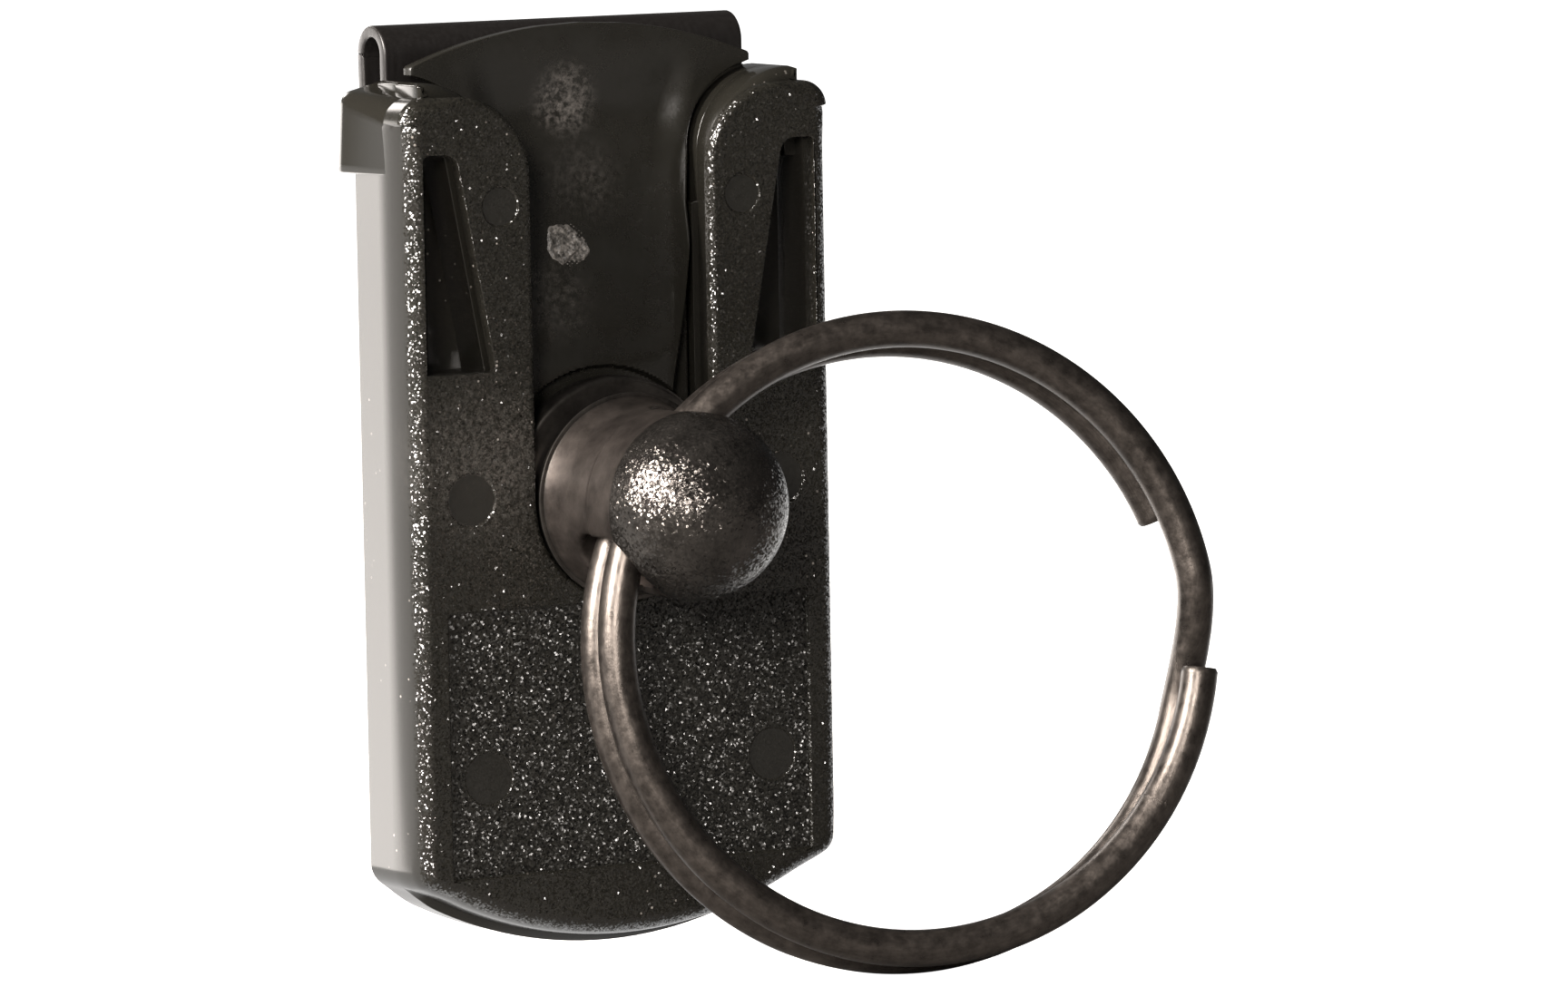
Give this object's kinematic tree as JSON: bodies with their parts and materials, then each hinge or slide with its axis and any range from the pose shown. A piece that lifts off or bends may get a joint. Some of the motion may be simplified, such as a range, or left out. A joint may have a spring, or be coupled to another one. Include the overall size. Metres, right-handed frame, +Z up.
{
  "type": "key coupler",
  "caption": "Belt-clip key coupler: black moulded body on a spring-steel clip, thumb tongue, lift-out ball stud, and split key ring",
  "frame": {"origin": "Where the stud's axis meets the rear face of the clip's mounting leaf, against which the belt bears", "axes": "+X across the body, to the right seen from the front; +Y from the front to the back, away from the ball stud; +Z up, towards the thumb pad"},
  "size_m": [0.0471, 0.0268, 0.0564],
  "materials": {
    "housing": "fine spark texture",
    "tongue": "semi-gloss",
    "clip": "black oxide, satin",
    "disc": "black oxide, satin",
    "stud": "black, cast ball with a smooth neck",
    "ring": "dark gunmetal, drawn"
  },
  "bodies": {
    "body": {"front_housing": "housing", "rear_housing": "housing", "clip_mounting_leaf": "clip"},
    "tongue": {"thumb_tongue": "tongue"},
    "belt_leaf": {"clip_belt_leaf": "clip"},
    "disc": {"stud_disc": "disc"},
    "stud": {"ball_stud": "stud"},
    "ring": {"split_ring": "ring"}
  },
  "joints": [
    {"name": "stud_release", "type": "slide", "parent": "body", "child": "disc", "axis": [0, 0, 1], "range_m": [0, 0.034]},
    {"name": "stud_swivel", "type": "hinge", "parent": "disc", "child": "stud", "pos_m": [0, -0.0113, 0], "axis": [0, 1, 0], "continuous": true},
    {"name": "ring_swing", "type": "hinge", "parent": "stud", "child": "ring", "pos_m": [-0.00083, -0.0128, 0.00056], "axis": [0.5592, 0, 0.829], "range_deg": [-13, 16]},
    {"name": "tongue_press", "type": "hinge", "parent": "body", "child": "tongue", "pos_m": [0, -0.00255, -0.009], "axis": [-1, 0, 0], "range_deg": [0, 1.5], "stiffness_Nm_per_rad": 10},
    {"name": "belt_leaf_flex", "type": "hinge", "parent": "body", "child": "belt_leaf", "pos_m": [0, 0.00245, 0.0261], "axis": [1, 0, 0], "range_deg": [0, 8], "stiffness_Nm_per_rad": 5}
  ]
}
